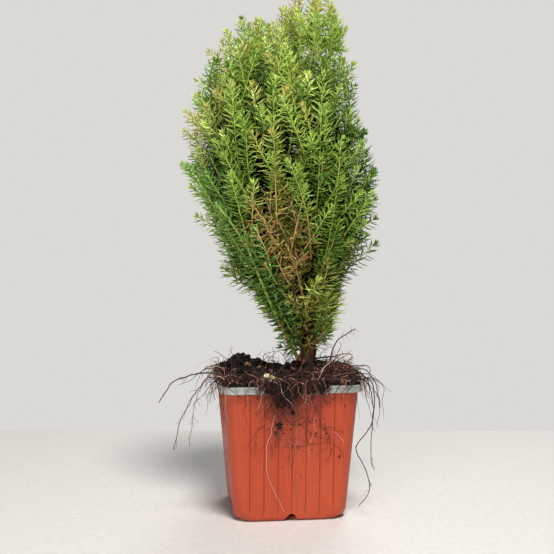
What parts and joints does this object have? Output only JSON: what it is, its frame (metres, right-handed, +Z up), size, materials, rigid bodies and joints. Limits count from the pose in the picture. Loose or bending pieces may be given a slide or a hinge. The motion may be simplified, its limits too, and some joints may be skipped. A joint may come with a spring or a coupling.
{
  "type": "potted conifer",
  "caption": "Young upright conifer with soft short needles on fanned shoots, in a small tapered square nursery pot with soil and fine roots over its rim.",
  "frame": {"origin": "middle of the pot's flat underside, which is the plane that the pot stands on", "axes": "+Z up, along the trunk; +X to the right and +Y to the back as the pot is seen from its front, both square to the pot's sides; the plant is turned 7 degrees about Z from them"},
  "size_m": [0.1098, 0.0887, 0.2617],
  "materials": {
    "pot_plastic": "satin",
    "rim_plastic": "satin",
    "potting_soil": "matte",
    "bark": "matte",
    "needles": "matte",
    "fine_roots": "matte"
  },
  "bodies": {
    "root": {"pot": "pot_plastic", "pot_rim": "rim_plastic", "soil": "potting_soil", "trunk": "bark", "bough_low_right_back": "bark", "bough_low_back": "bark", "bough_low_left_back": "bark", "bough_low_left_front": "bark", "bough_low_front": "bark", "bough_low_right_front": "bark", "bough_right_1": "bark", "bough_right_2": "bark", "bough_back_right_1": "bark", "bough_back_right_2": "bark", "bough_back_right_3": "bark", "bough_back_left_1": "bark", "bough_back_left_2": "bark", "bough_left_1": "bark", "bough_left_2": "bark", "bough_left_3": "bark", "bough_front_left_1": "bark", "bough_front_left_2": "bark", "bough_front_right_1": "bark", "bough_front_right_2": "bark", "bough_front_right_3": "bark", "foliage_low_right_back": "needles", "foliage_low_back": "needles", "foliage_low_left_back": "needles", "foliage_low_left_front": "needles", "foliage_low_front": "needles", "foliage_low_right_front": "needles", "foliage_right_1": "needles", "foliage_right_2": "needles", "foliage_back_right_1": "needles", "foliage_back_right_2": "needles", "foliage_back_right_3": "needles", "foliage_back_left_1": "needles", "foliage_back_left_2": "needles", "foliage_left_1": "needles", "foliage_left_2": "needles", "foliage_left_3": "needles", "foliage_front_left_1": "needles", "foliage_front_left_2": "needles", "foliage_front_right_1": "needles", "foliage_front_right_2": "needles", "foliage_front_right_3": "needles", "foliage_top": "needles", "root_clump": "fine_roots", "root_left_long": "fine_roots", "root_left_hanging": "fine_roots", "root_left_short": "fine_roots", "root_right_upright": "fine_roots", "root_right_arch": "fine_roots", "root_right_long": "fine_roots", "root_right_hanging": "fine_roots", "root_front_left": "fine_roots", "root_front_right": "fine_roots"}
  },
  "joints": []
}
